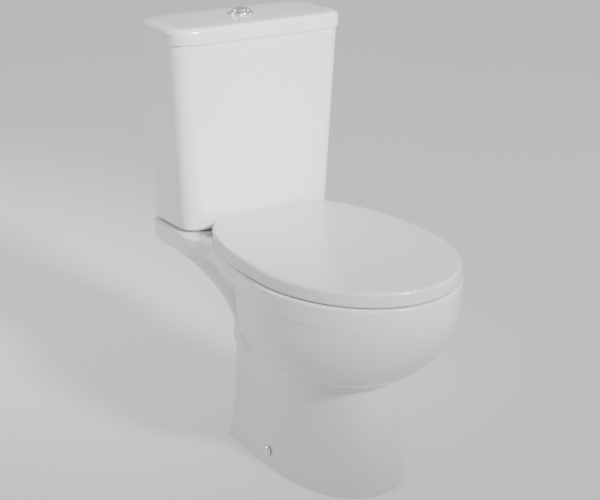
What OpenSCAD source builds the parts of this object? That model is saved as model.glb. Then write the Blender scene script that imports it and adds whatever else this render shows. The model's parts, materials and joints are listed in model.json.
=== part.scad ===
// Close coupled toilet: vitreous china pan and cistern, seat with cover, flush
// and fill valves, and every fixing. Millimetres, +Z up, front of the pan at -Y,
// wall at +Y, origin on the floor under the middle of the whole.

/* [Overall] */
// Depth from the wall face to the front of the pan
overall_d = 645; // [600:1:780]
// Height of the rim above the floor
rim_h = 397; // [330:1:480]
// Width of the bowl across the rim
pan_w = 365; // [330:1:440]
// Height of the cistern body
cistern_h = 348; // [290:1:420]

/* [Pan] */
// Width of the foot on the floor
foot_w = 226; // [190:1:272]
// Depth of the foot on the floor
foot_d = 356; // [320:1:400]
// Height of the neck where the bowl meets the foot
neck_h = 200; // [185:1:225]
// Depth of the band around the rim and the shelf
band_h = 38; // [34:1:44]
// Thickness of the china walls
china_t = 13; // [10:0.5:16]
// Width of the flat rim around the bowl opening
rim_w = 44; // [38:1:52]
// Distance from the front of the pan to its widest line
widest_from_front = 230; // [210:1:250]
// Width of the pan at its waist behind the bowl
waist_w = 294; // [280:1:320]
// Drop of the deck that holds the seat hinges
deck_drop = 7; // [6:0.5:9]
// Outside diameter of the soil outlet spigot
outlet_d = 102; // [90:1:110]
// Height of the centre of the soil outlet
outlet_h = 172; // [165:1:178]
// Bore of the trap
trap_d = 66; // [56:1:72]

/* [Cistern] */
// Width of the cistern at its base
cistern_base_w = 321; // [300:1:386]
// Width of the cistern at its top edge
cistern_top_w = 355; // [330:1:420]
// Depth of the cistern at its base
cistern_base_d = 150.5; // [140:0.5:170]
// Depth of the cistern at its top edge
cistern_top_d = 162.5; // [150:0.5:180]
// Thickness of the cistern walls
cistern_t = 9; // [7:0.5:12]
// Gap between the shelf and the cistern base
cistern_gap = 3.3; // [2:0.1:5]
// Height of the cistern lid
lid_h = 29.8; // [24:0.2:36]
// Overhang of the cistern lid past the body
lid_lip = 2; // [1:0.2:4]

/* [Seat] */
// Thickness of the seat ring
ring_t = 15; // [13:0.5:17]
// Height of the seat lid from its skirt edge to its crease
cover_h = 25.5; // [24:0.5:32]
// Rise of the seat lid's crown above its crease
cover_crown = 2.5; // [1:0.5:4]
// Thickness of the lid's shell
cover_t = 3; // [2.5:0.5:4]
// Spacing of the two seat hinges
hinge_spacing = 155; // [140:1:165]
// Radius of the hinge pin
hinge_pin_r = 2; // [1.5:0.1:2.4]
// Open angle of the seat lid
cover_open = 91.5; // [80:0.5:92]

/* [Fittings] */
// Diameter of the flush button's collar
collar_d = 44; // [40:1:56]
// Diameter of the two flush buttons together
button_d = 32; // [26:1:34]
// Travel of the full flush button
full_travel = 7; // [5:0.5:8]
// Travel of the half flush button
half_travel = 6; // [4:0.5:7]
// Spacing of the bolts between the cistern and the pan
coupling_spacing = 170; // [160:1:180]
// Diameter of the coupling bolts
coupling_bolt_d = 8; // [6:0.5:10]
// Outside diameter of the flush valve's tail
flush_tail_d = 58; // [52:1:62]
// Outside diameter of the water inlet tail
inlet_tail_d = 20.96; // [20:0.02:22]

/* [Hidden] */
$fn = 64;
eps = 0.01;
// Clearance of a bolt in its hole, and of a sliding or turning piece
bolt_gap = 2;
run_gap = 0.05;
slide_gap = 0.4;

china = [0.93, 0.93, 0.94];
plastic = [0.88, 0.88, 0.89];
chrome = [0.75, 0.76, 0.78];
rubber = [0.12, 0.12, 0.13];
steel = [0.6, 0.61, 0.63];
nylon = [0.9, 0.9, 0.87];
brass = [0.75, 0.62, 0.3];

y_wall = overall_d / 2;
y_front = -overall_d / 2;
y_wide = y_front + widest_from_front;
band_z = rim_h - band_h;
y_foot = y_front + 103;
foot_back = y_foot + foot_d;
shelf_w = cistern_base_w + 9;
cistern_z = rim_h + cistern_gap;
lid_z = cistern_z + cistern_h;
top_z = lid_z + lid_h;
cistern_front = y_wall - cistern_base_d;
cover_back = cistern_front - 5.5;
deck_z = rim_h - deck_drop;
cover_z = rim_h + 2;
crease_z = cover_z + cover_h;
hinge_y = cover_back - 27.5;
hinge_z = crease_z - 6;
valve_y = y_wall - 82.5;
coupling_y = y_wall - 62;
inlet_x = 122;
inlet_y = y_wall - 68;
ring_z = crease_z - cover_t - 1 - ring_t;
side_hole_y = -18;
side_hole_z = 30;

// Helpers -----------------------------------------------------------------
function ease(t) = t <= 0 ? 0 : t >= 1 ? 1 : t * t * (3 - 2 * t);
function join_max(a, b, k) = let (h = max(k - abs(a - b), 0) / k) max(a, b) + h * h * k / 4;
function pw(c, e) = sign(c) * pow(abs(c), e);

// Smooth value at height z of column c of a list of stations
function slope(s, i, c) = i == 0 ? (s[1][c] - s[0][c]) / (s[1][0] - s[0][0])
    : i == len(s) - 1 ? (s[i][c] - s[i - 1][c]) / (s[i][0] - s[i - 1][0])
    : (s[i + 1][c] - s[i - 1][c]) / (s[i + 1][0] - s[i - 1][0]);
function seek(s, z, i = 0) = i >= len(s) - 2 || z < s[i + 1][0] ? i : seek(s, z, i + 1);
function at(s, z0, c) = let (z = max(s[0][0], min(s[len(s) - 1][0], z0)), i = seek(s, z),
        d = s[i + 1][0] - s[i][0], t = (z - s[i][0]) / d)
    (2 * pow(t, 3) - 3 * t * t + 1) * s[i][c] + (pow(t, 3) - 2 * t * t + t) * slope(s, i, c) * d
    + (3 * t * t - 2 * pow(t, 3)) * s[i + 1][c] + (pow(t, 3) - t * t) * slope(s, i + 1, c) * d;

// Solid through closed rings with the same number of points, lowest ring first,
// closed at each end by a fan about the middle of the end ring
function middle(r) = [for (c = [0 : 2]) (min([for (p = r) p[c]]) + max([for (p = r) p[c]])) / 2];
module loft(rings) {
    n = len(rings[0]);
    m = len(rings);
    polyhedron(
        points = concat([for (r = rings) each r], [middle(rings[0]), middle(rings[m - 1])]),
        faces = [for (i = [0 : n - 1]) let (k = (i + 1) % n) each concat(
            [[i, k, m * n], [(m - 1) * n + k, (m - 1) * n + i, m * n + 1]],
            [for (j = [0 : m - 2]) each [[j * n + i, (j + 1) * n + i, (j + 1) * n + k],
                [j * n + i, (j + 1) * n + k, j * n + k]]])]);
}

// Closed plan curve, widest at yw, with its own fullness front and back
function plan(a, yf, yb, yw, nf, nb, z, n = 72) = [for (i = [0 : n - 1])
    let (t = 360 * i / n, c = cos(t), s = sin(t), e = s < 0 ? nf : nb)
    [a * pw(c, 2 / e), yw + (s < 0 ? yw - yf : yb - yw) * pw(s, 2 / e), z]];

module ring_shape(ro, ri, h) {
    difference() {
        cylinder(r = ro, h = h);
        translate([0, 0, -1]) cylinder(r = ri, h = h + 2);
    }
}

module pair(x) {
    for (s = [-1, 1]) translate([s * x, 0, 0]) children();
}

// Pan ---------------------------------------------------------------------
// Stations of the rear part: height, half width, rear edge, pocket depth,
// start and end of the flare behind the pocket, corner radius, blend
k_low = neck_h / 200;
function low(z) = z * k_low;
function high(z) = neck_h + (z - 200) * (band_z - neck_h) / 158;
REAR = [
    [0, foot_w / 2, foot_back, 0, 60, 100, 16, 20],
    [low(40), foot_w / 2 - 5, foot_back - 8, 0, 60, 100, 18, 20],
    [low(100), foot_w / 2 - 9, foot_back - 14, 0, 60, 100, 20, 20],
    [low(165), foot_w / 2 - 10, foot_back - 16, 2, 50, 90, 22, 22],
    [high(205), foot_w / 2 - 12, foot_back - 5, 8, 50, 95, 24, 26],
    [high(235), foot_w / 2 - 17, foot_back + 14, 14, 60, 140, 26, 24],
    [high(270), foot_w / 2 - 17, y_wall - 124, 24, 90, 185, 28, 20],
    [high(300), foot_w / 2 - 9, y_wall - 70, 26, 130, 225, 30, 16],
    [high(330), foot_w / 2 + 15, y_wall - 26, 46, 150, 270, 32, 14],
    [high(350), shelf_w / 2 - 12, y_wall - 4, 62, 160, 280, 34, 12],
    [band_z - 3, shelf_w / 2 - 6, y_wall - 1, 60, 160, 280, 35, 14],
    [band_z + 2, shelf_w / 2 - 2, y_wall, shelf_w / 2 - waist_w / 2, 115, 195, 35, 28],
    [rim_h, shelf_w / 2, y_wall, shelf_w / 2 - waist_w / 2 + 1, 115, 195, 35, 28]];
FOOT_FRONT = [[0, 0], [20, 2], [60, 7], [120, 13], [180, 19], [215, 21]];
// Height, half length of the egg's rear, and how square that rear is
EGG = [[0, 400, 2], [low(150), 400, 2], [low(190), 300, 2], [high(215), 180, 2.2],
    [high(235), 138, 2.7], [high(260), 128, 3.2], [high(300), 124, 3.8], [high(330), 124, 4],
    [band_z - 4, 125, 4], [band_z - 3, 126, 4], [band_z, 300, 2], [rim_h, 306, 2]];

function bowl_low() = neck_h - 14;
function bowl_u(z) = min(1, max(0, (band_z - z) / (band_z - bowl_low())));
function bowl_half(z) = pan_w / 2 * sqrt(1 - pow(bowl_u(z), 3));
function bowl_front(z) = y_wide - (y_wide - y_front) * pow(1 - pow(bowl_u(z), 1.8), 1 / 2.2);
function fade(z) = sqrt(min(1, max(0, (z - neck_h - 15) / 60)));

// One level of the pan's outside; inset draws it smaller for a wall or an edge
function level(z, inset = 0, lift = 0) = let (
    foot_a = foot_w / 2 - (at(REAR, 0, 1) - at(REAR, min(z, neck_h), 1)) - 60 * fade(z),
    foot_f = y_foot + at(FOOT_FRONT, z / k_low, 1) + 60 * fade(z),
    w = join_max(bowl_half(z), foot_a, 24) - inset,
    yf = -join_max(-bowl_front(z), -foot_f, 24) + inset,
    e = 2.3 - 0.25 * ease((z - neck_h + 15) / 30),
    yw = -20 + (y_wide + 20) * ease((z - low(150)) / (high(230) - low(150))),
    half = at(REAR, z, 1) - inset, back = min(at(REAR, z, 2), y_wall) - inset,
    pocket = at(REAR, z, 3), f0 = at(REAR, z, 4), f1 = at(REAR, z, 5),
    rc = at(REAR, z, 6), k = at(REAR, z, 7), egg = at(EGG, z, 1), sq = at(EGG, z, 2),
    side = function (y) join_max(w * pow(max(0, 1 - pow(max(y - yw, 0) / egg, sq)), 1 / sq),
        half - pocket * (1 - ease((y - f0) / (f1 - f0))), k),
    w0 = side(yw), ye = back - rc, we = side(ye),
    right = concat(
        [for (i = [0 : 11]) let (a = -90 + 90 * i / 11)
            [w0 * pw(cos(a), 2 / e), yw - (yw - yf) * pw(-sin(a), 2 / e)]],
        [for (i = [1 : 12]) let (y = yw + (ye - yw) * i / 12) [side(y), y]],
        [for (i = [1 : 4]) let (a = 22.5 * i) [we - rc + rc * cos(a), ye + rc * sin(a)]]))
    concat([for (p = right) [p[0], p[1], z + lift]],
        [for (i = [len(right) - 1 : -1 : 1]) [-right[i][0], right[i][1], z + lift]]);

function reversed(r) = [for (i = [len(r) - 1 : -1 : 0]) r[i]];

// Inside of the bowl: an egg under the rim that narrows to the trap's mouth
bowl_back = y_wide + 150;
sump_z = outlet_h - 58;
sump_w = 56;
function bowl_ring(t) = let (z = rim_h - 34 + (sump_z + 34 - rim_h) * t,
        w = sump_w / 2 + (pan_w / 2 - china_t - 12 - sump_w / 2) * pow(1 - pow(t, 2.2), 1.7),
        yf = y_front + china_t + 4 + 245 * pow(t, 1.6), yb = bowl_back - 8 - 22 * t)
    plan(w, yf, yb, yf + (yb - yf) * 0.6, 2.1, 2, z, 52);

module bowl_cavity() {
    wr = pan_w / 2 - rim_w;
    rim = [for (z = [rim_h + 5, rim_h - 26])
        plan(wr, y_front + rim_w - 2.3, bowl_back - 14, y_wide - 4, 2.12, 2.3, z, 52)];
    loft(reversed(concat(rim, [for (i = [0 : 8]) bowl_ring(i / 8)])));
}

// Hollow of the foot, open to the floor
module foot_cavity() {
    top = outlet_h - 72;
    loft(concat([level(0, china_t, -1)], [for (i = [1 : 3]) level(top * i / 3, china_t)],
        [level(top + 6, china_t + 14)]));
}

module trap_bores() {
    sump = [0, -14, sump_z + 36];
    weir = [0, 92, outlet_h + 44];
    d = weir - sump;
    translate(sump) rotate([-atan2(d[1], d[2]), 0, 0]) cylinder(d = trap_d, h = norm(d));
    translate([0, weir[1], outlet_h]) cylinder(d = trap_d + 7, h = weir[2] - outlet_h + 22);
    translate([0, weir[1] + 2, outlet_h]) rotate([-90, 0, 0]) cylinder(d = outlet_d - 18, h = 140);
}

module pan() {
    spigot_y = foot_back + 16;
    color(china) difference() {
        union() {
            loft(concat([level(0, 1.5)], [for (z = [1.5, low(40), low(80), low(120), low(160),
                low(185), neck_h, high(210), high(220), high(232), high(246), high(262), high(280),
                high(300), high(320), high(338), high(350), band_z - 3, band_z, band_z + 2,
                rim_h - 6]) level(z)],
                [level(rim_h - 2, 1.5), level(rim_h, 6)]));
            translate([0, 60, outlet_h]) rotate([-90, 0, 0])
                cylinder(d = outlet_d + 14, h = spigot_y - 60);
            translate([0, 60, outlet_h]) rotate([-90, 0, 0])
                cylinder(d = outlet_d, h = spigot_y + 52 - 60);
        }
        bowl_cavity();
        foot_cavity();
        trap_bores();
        // flush inlet under the cistern, its recess, and the way to the bowl
        translate([0, valve_y, rim_h - 28]) cylinder(d = 96, h = 60);
        translate([0, valve_y, rim_h - 66]) cylinder(d = 52, h = 60);
        translate([0, valve_y, rim_h - 47]) rotate([90, 0, 0])
            cylinder(d = 34, h = valve_y - bowl_back + 40);
        // lower deck for the seat hinges, and their two holes
        translate([-130, hinge_y - 30, deck_z]) cube([260, cover_back + 1 - hinge_y + 30, 20]);
        translate([0, hinge_y, 0]) pair(hinge_spacing / 2) {
            translate([0, 0, rim_h - 70]) cylinder(d = 8 + bolt_gap * 2, h = 100);
            translate([0, 0, rim_h - 110]) cylinder(d = 34, h = 110 - 34);
            translate([0, 0, deck_z - 3.2]) cylinder(d = 31, h = 20);
        }
        // holes and spot faces for the coupling bolts
        translate([0, coupling_y, 0]) pair(coupling_spacing / 2) {
            translate([0, 0, rim_h - 70]) cylinder(d = coupling_bolt_d + bolt_gap, h = 100);
            translate([0, 0, rim_h - 110]) cylinder(d = 38, h = 110 - 32);
        }
        // clearance for the water inlet tail
        translate([inlet_x, inlet_y, rim_h - 110]) cylinder(d = 40, h = 140);
        // side fixing holes in the foot
        translate([0, side_hole_y, side_hole_z]) rotate([0, 90, 0]) {
            cylinder(d = 7, h = 150);
            mirror([0, 0, 1]) cylinder(d = 7, h = 150);
        }
        // seats of the caps over those holes
        for (s = [-1, 1]) translate([s * side_face, side_hole_y, side_hole_z])
            rotate([0, s * 90, 0]) cylinder(d = 20, h = 20);
    }
}

// Floor fixing: two plastic angle brackets inside the foot
bracket_x = foot_w / 2 - 6 - china_t - 9;
module floor_brackets() {
    color(nylon) for (s = [-1, 1]) translate([s * bracket_x, side_hole_y, 0]) mirror([s < 0 ? 1 : 0, 0, 0])
        difference() {
            union() {
                translate([-34, -20, 0]) cube([38, 40, 5]);
                translate([0, -20, 0]) cube([6, 40, 46]);
                for (y = [-20, 16]) translate([-18, y, 0]) cube([20, 4, 24]);
            }
            translate([-16, 0, -1]) cylinder(d = 7, h = 10);
            translate([-2, 0, side_hole_z]) rotate([0, 90, 0]) cylinder(d = 4.6, h = 20);
        }
}

module bracket_screws() {
    color(steel) for (s = [-1, 1]) translate([s * (bracket_x - 16), side_hole_y, 0]) {
        translate([0, 0, 0.5]) cylinder(d = 5.6, h = 5);
        translate([0, 0, 5]) cylinder(d1 = 12, d2 = 11, h = 2.5);
        translate([0, 0, 7.5]) difference() {
            cylinder(d = 11, h = 1.5);
            translate([-6, -0.8, 0.5]) cube([12, 1.6, 2]);
        }
    }
}

// Outside face of the foot at the height of the side screws
side_face = level(side_hole_z)[15][0];
module side_screws() {
    color(steel) for (s = [-1, 1]) translate([s * (bracket_x + 1), side_hole_y, side_hole_z])
        rotate([0, s * 90, 0]) {
            cylinder(d = 4.4, h = side_face - bracket_x + 1.5);
            translate([0, 0, side_face - bracket_x + 0.7]) cylinder(d = 8.4, h = 2);
        }
}

module side_screw_caps() {
    color(chrome) for (s = [-1, 1]) translate([s * side_face, side_hole_y, side_hole_z])
        rotate([0, s * 90, 0]) rotate_extrude() difference() {
            union() {
                square([10, 2.4]);
                intersection() {
                    translate([0, -9.2]) circle(r = 15);
                    square([9, 8]);
                }
            }
            translate([-1, -1]) square([6, 4.8]);
        }
}

// Cistern -----------------------------------------------------------------
function cistern_ring(t, z, inset, n = 56) = let (
        w = (cistern_base_w + (cistern_top_w - cistern_base_w) * t) / 2 - inset,
        d = cistern_base_d + (cistern_top_d - cistern_base_d) * t)
    plan(w, y_wall - d + inset, y_wall - inset, y_wall - d / 2, 5.5, 7, z, n);

module cistern() {
    color(china) difference() {
        loft([cistern_ring(0, cistern_z, 6), cistern_ring(0.005, cistern_z + 1.8, 1.8),
            cistern_ring(0.02, cistern_z + 6, 0), cistern_ring(0.5, cistern_z + cistern_h / 2, 0),
            cistern_ring(1, lid_z, 0)]);
        loft([cistern_ring(0, cistern_z + cistern_t + 2, cistern_t + 6),
            cistern_ring(0.02, cistern_z + cistern_t + 8, cistern_t),
            cistern_ring(1, lid_z + 1, cistern_t)]);
        translate([0, valve_y, cistern_z - 5]) cylinder(d = flush_tail_d + bolt_gap, h = 40);
        translate([inlet_x, inlet_y, cistern_z - 5]) cylinder(d = inlet_shank_d + bolt_gap, h = 40);
        translate([0, coupling_y, cistern_z - 5]) pair(coupling_spacing / 2)
            cylinder(d = coupling_bolt_d + bolt_gap, h = 40);
    }
}
floor_z = cistern_z + cistern_t + 2;

module coupling_gasket() {
    color(rubber) translate([0, valve_y, rim_h - 28]) rotate_extrude() difference() {
        translate([flush_tail_d / 2 + 4.5, 0]) square([11, 28 + cistern_gap]);
        translate([flush_tail_d / 2 + 15.5, 4]) rotate(-20) square([6, 30]);
    }
}

module coupling_bolts() {
    color(steel) translate([0, coupling_y, 0]) pair(coupling_spacing / 2) {
        translate([0, 0, rim_h - 32 - 26]) cylinder(d = coupling_bolt_d, h = floor_z + 5 - rim_h + 58);
        translate([0, 0, floor_z + 4.5]) cylinder(d = 18, h = 4, $fn = 6);
    }
}

module coupling_rubber_washers() {
    color(rubber) translate([0, coupling_y, 0]) pair(coupling_spacing / 2) {
        translate([0, 0, floor_z]) ring_shape(15, coupling_bolt_d / 2, 3);
        translate([0, 0, rim_h - 32 - 3]) ring_shape(15, coupling_bolt_d / 2, 3);
    }
}

module coupling_steel_washers() {
    color(steel) translate([0, coupling_y, 0]) pair(coupling_spacing / 2) {
        translate([0, 0, floor_z + 3]) ring_shape(12, coupling_bolt_d / 2, 1.5);
        translate([0, 0, rim_h - 32 - 4.5]) ring_shape(12, coupling_bolt_d / 2, 1.5);
    }
}

// Nut with two wings over a bolt of diameter d, hub down from the origin
module wing_nut(d) {
    difference() {
        union() {
            translate([0, 0, -9]) cylinder(d1 = d + 7, d2 = d + 9, h = 9);
            for (s = [0, 180]) rotate(s) translate([d / 2, -1.2, -11]) rotate([0, -25, 0])
                cube([8, 2.4, 9]);
        }
        translate([0, 0, -20]) cylinder(d = d, h = 30);
        translate([-20, -20, 0]) cube([40, 40, 5]);
    }
}

module coupling_wing_nuts() {
    color(brass) translate([0, coupling_y, rim_h - 32 - 4.5]) pair(coupling_spacing / 2)
        wing_nut(coupling_bolt_d);
}

// Flush valve -------------------------------------------------------------
valve_top = lid_z - 118;
module flush_valve_body() {
    color(nylon) translate([0, valve_y, 0]) difference() {
        union() {
            translate([0, 0, rim_h - 24]) cylinder(d = flush_tail_d, h = floor_z - rim_h + 27);
            translate([0, 0, floor_z + 2.5]) cylinder(d = flush_tail_d + 18, h = 6);
            translate([0, 0, floor_z + 8]) cylinder(d = flush_tail_d + 6, h = 6);
            for (a = [45 : 90 : 315]) rotate(a) translate([flush_tail_d / 2 + 1.5, -4, floor_z + 5])
                cube([4, 8, valve_top - floor_z - 6]);
            translate([0, 0, valve_top - 40]) cylinder(d = flush_tail_d + 12, h = 40);
        }
        translate([0, 0, rim_h - 30]) cylinder(d = flush_tail_d - 8, h = 80);
        translate([0, 0, floor_z + 40]) cylinder(d = flush_tail_d - 4, h = valve_top);
    }
}

module flush_valve_washer() {
    color(rubber) translate([0, valve_y, floor_z])
        ring_shape(flush_tail_d / 2 + 8, flush_tail_d / 2 + 0.2, 2.5);
}

module flush_valve_backnut() {
    color(nylon) translate([0, valve_y, cistern_z - 10]) difference() {
        union() {
            cylinder(d = flush_tail_d + 8, h = 10);
        }
        translate([0, 0, -1]) cylinder(d = flush_tail_d, h = 20);
    }
}

core_lift = full_travel * 2;
module flush_core() {
    color(plastic) translate([0, valve_y, floor_z + 17.5]) {
        difference() {
            union() {
                cylinder(d = flush_tail_d - 6, h = 5);
                cylinder(d = 26, h = valve_top - floor_z - 40);
                translate([0, 0, 70]) cylinder(d = flush_tail_d - 8, h = 60);
            }
            translate([0, 0, -1]) cylinder(d = 20, h = valve_top);
        }
    }
}

module flush_seal() {
    color(rubber) translate([0, valve_y, floor_z + 14.5])
        ring_shape(flush_tail_d / 2 - 1, 13, 2.5);
}

// Fill valve --------------------------------------------------------------
arm_z = lid_z - 96;
inlet_shank_d = inlet_tail_d + 1;
arm_pivot = 16;
arm_len = 46;
module fill_valve_body() {
    color(nylon) translate([inlet_x, inlet_y, 0]) difference() {
        union() {
            cylinder_z(rim_h - 52, cistern_z - 8, inlet_tail_d);
            cylinder_z(cistern_z - 9, floor_z + 3, inlet_shank_d);
            translate([0, 0, floor_z + 2.5]) cylinder(d = 34, h = 6);
            cylinder_z(floor_z + 8, arm_z - 12, 22);
            cylinder_z(arm_z - 34, arm_z - 14, 30);
            translate([-9, -7, arm_z - 16]) cube([18, 14, 4]);
            for (y = [-7, 4]) translate([-22, y, arm_z - 16]) cube([26, 3, 24]);
        }
        translate([0, 0, rim_h - 60]) cylinder(d = 13, h = 150);
        translate([-arm_pivot, 20, arm_z]) rotate([90, 0, 0]) cylinder(d = 3 + run_gap * 2, h = 40);
    }
}
module cylinder_z(z0, z1, d) {
    translate([0, 0, z0]) cylinder(d = d, h = z1 - z0);
}

module fill_valve_washer() {
    color(rubber) translate([inlet_x, inlet_y, floor_z])
        ring_shape(17, inlet_shank_d / 2 + 0.2, 2.5);
}

module fill_valve_backnut() {
    color(nylon) translate([inlet_x, inlet_y, cistern_z - 9]) difference() {
        cylinder(d = 32, h = 9, $fn = 6);
        translate([0, 0, -1]) cylinder(d = inlet_shank_d, h = 20);
    }
}

module float_arm() {
    color(plastic) translate([inlet_x - arm_pivot, inlet_y, arm_z]) {
        rotate([90, 0, 0]) translate([0, 0, -8.5]) cylinder(d = 3, h = 17);
        translate([-arm_len - 4, -3, -3]) cube([arm_len + 8, 6, 6]);
        translate([-arm_len, 0, -30]) cylinder(d = 5, h = 30);
    }
}

module float_cup() {
    color([0.55, 0.6, 0.66]) translate([inlet_x - arm_pivot - arm_len, inlet_y, arm_z - 92]) difference() {
        cylinder(d = 38, h = 64);
        translate([0, 0, -1]) cylinder(d = 33, h = 58);
        translate([0, 0, 50]) cylinder(d = 5, h = 30);
    }
}

// Cistern lid and flush buttons -------------------------------------------
function lid_ring(inset, z, n = 64) = plan(cistern_top_w / 2 + lid_lip - inset,
    y_wall - cistern_top_d - lid_lip + inset, y_wall - inset, y_wall - cistern_top_d / 2, 5.9, 5.4, z, n);

// Inset of the lip that drops inside the cistern's walls
lip_in = cistern_t + lid_lip + 2;
module cistern_lid() {
    color(china) difference() {
        union() {
            loft([lid_ring(0.8, lid_z), lid_ring(0, lid_z + 1), lid_ring(0, top_z - 11),
                lid_ring(1.2, top_z - 6), lid_ring(4.5, top_z - 2.4), lid_ring(10, top_z - 0.8),
                lid_ring(24, top_z)]);
            loft([lid_ring(lip_in, lid_z - 7), lid_ring(lip_in, lid_z + 4)]);
        }
        loft([lid_ring(lip_in + 7, lid_z - 9), lid_ring(lip_in + 9, top_z - 12)]);
        translate([0, valve_y, lid_z]) cylinder(d = collar_d - 6, h = lid_h + 20);
    }
}

collar_top = top_z + 5.5;
button_top = top_z + 12.5;
spring_low = top_z - 27;
spring_top = top_z - 8;
module button_collar() {
    color(chrome) translate([0, valve_y, 0]) rotate_extrude() difference() {
        union() {
            translate([0, top_z]) square([collar_d / 2, 2.5]);
            translate([0, top_z]) square([collar_d / 2 - 2.4, 5.5]);
            translate([collar_d / 2 - 3, top_z + 2.5]) circle(r = 3);
            translate([0, lid_z + lid_h - 30]) square([collar_d / 2 - 3.4, 31]);
        }
        translate([-1, lid_z + lid_h - 40]) square([button_d / 2 + slide_gap + 1, 60]);
        translate([0, top_z - 5]) square([collar_d, 5]) ;
    }
    color(chrome) translate([0, valve_y, 0]) difference() {
        translate([0, 0, top_z - 30]) cylinder(r = collar_d / 2 - 3.4, h = 30.5);
        translate([0, 0, top_z - 27]) cylinder(r = button_d / 2 + slide_gap, h = 40);
        for (x = [-7, 7]) translate([x, 0, top_z - 40]) cylinder(d = 6 + slide_gap * 2, h = 30);
    }
}

module collar_locknut() {
    color(nylon) translate([0, valve_y, top_z - 18 - 3])
        ring_shape(collar_d / 2 + 7, collar_d / 2 - 3.3, 7);
}

// One half of the round button: side -1 is the full flush, +1 the half flush
module button_half(side) {
    split = -3;
    color(chrome) translate([0, valve_y, 0]) intersection() {
        union() {
            translate([0, 0, top_z - 8]) cylinder(d = button_d, h = 18.5);
            intersection() {
                translate([0, 0, button_top - 60]) sphere(r = 60);
                translate([0, 0, top_z + 5]) cylinder(d = button_d, h = 20);
            }
        }
        translate([side < 0 ? split + 0.4 : -50 + split - 0.4, -30, top_z - 10]) cube([50, 60, 60]);
    }
}
module full_flush_button() { button_half(-1); }
module half_flush_button() { button_half(1); }

module push_rod(x) {
    color(plastic) translate([x, valve_y, valve_top + 16])
        cylinder(d = 6, h = top_z - 8 - valve_top - 16);
}
module full_push_rod() { push_rod(7); }
module half_push_rod() { push_rod(-7); }

// Coil spring round a push rod, between the collar's floor and the button
module button_spring(x) {
    turns = 4;
    steps = turns * 14;
    height = spring_top - spring_low - 1.2;
    color(steel) translate([x, valve_y, spring_low + 0.6]) loft_tube([for (i = [0 : steps])
        let (a = 360 * turns * i / steps) [4.7 * cos(a), 4.7 * sin(a), height * i / steps, a]], 0.55);
}
// Wire of radius r along a helix whose points carry their own turn angle
module loft_tube(path, r) {
    sides = 8;
    polyhedron(
        points = [for (p = path, k = [0 : sides - 1]) let (b = 360 * k / sides)
            [p[0] + r * cos(b) * cos(p[3]), p[1] + r * cos(b) * sin(p[3]), p[2] + r * sin(b)]],
        faces = concat([[for (k = [0 : sides - 1]) k]],
            [for (j = [0 : len(path) - 2], k = [0 : sides - 1]) let (l = (k + 1) % sides)
                each [[j * sides + k, (j + 1) * sides + k, (j + 1) * sides + l],
                      [j * sides + k, (j + 1) * sides + l, j * sides + l]]],
            [[for (k = [sides - 1 : -1 : 0]) (len(path) - 1) * sides + k]]));
}
module full_button_spring() { button_spring(7); }
module half_button_spring() { button_spring(-7); }

// Seat --------------------------------------------------------------------
// Outline of the seat cover at its crease, drawn smaller by inset
function cover_ring(inset, z, n = 72) = let (w = pan_w / 2 - 4 - inset, yw = y_wide - 4,
        yf = y_front + 1.5 + inset, yb = cover_back - inset)
    [for (i = [0 : n - 1]) let (t = 360 * i / n, c = cos(t), s = sin(t),
        e = s < 0 ? 2.02 : 2.35, x = w * pw(c, 2 / e),
        y = yw + (s < 0 ? yw - yf : yb + 16 - yw) * pw(s, 2 / e))
        [x, s < 0 ? y : min(y, yb - pow(abs(x) / 122, 3) * 16), z]];

function cover_face(z) = crease_z + cover_crown * z;

module seat_cover() {
    color(plastic) difference() {
        loft([cover_ring(1, cover_z), cover_ring(0, cover_z + 1), cover_ring(0.4, crease_z - 5),
            cover_ring(2, crease_z - 1.6), cover_ring(6, crease_z), cover_ring(40, cover_face(0.75)),
            cover_ring(90, cover_face(1))]);
        loft([cover_ring(5.5, cover_z - 1), cover_ring(5.5, crease_z - 6),
            cover_ring(9, crease_z - cover_t)]);
        // the skirt is left out behind the ring, and round the hinge posts
        translate([-170, hinge_y - 2, cover_z - 1]) cube([340, 60, crease_z - cover_z + 1 - 9.5]);
        translate([0, hinge_y, hinge_z]) pair(hinge_spacing / 2) rotate([0, 90, 0])
            translate([0, 0, -20]) cylinder(r = 5.2, h = 40);
        translate([0, hinge_y, hinge_z]) pair(hinge_spacing / 2)
            translate([-post_w / 2 - 1, 0, -20]) cube([post_w + 2, 40, 23.9]);
    }
    color(plastic) translate([0, hinge_y, hinge_z]) for (s = [-1, 1], k = [0, 1])
        translate([s * (hinge_spacing / 2 + (k == 0 ? 9 : -9)) - 2, 0, 0]) difference() {
            union() {
                rotate([0, 90, 0]) cylinder(r = 4.6, h = 4);
                translate([0, -4, 0]) cube([4, 8, crease_z - hinge_z]);
            }
            translate([-1, 0, 0]) rotate([0, 90, 0]) cylinder(r = hinge_pin_r + run_gap, h = 8);
        }
}

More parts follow.
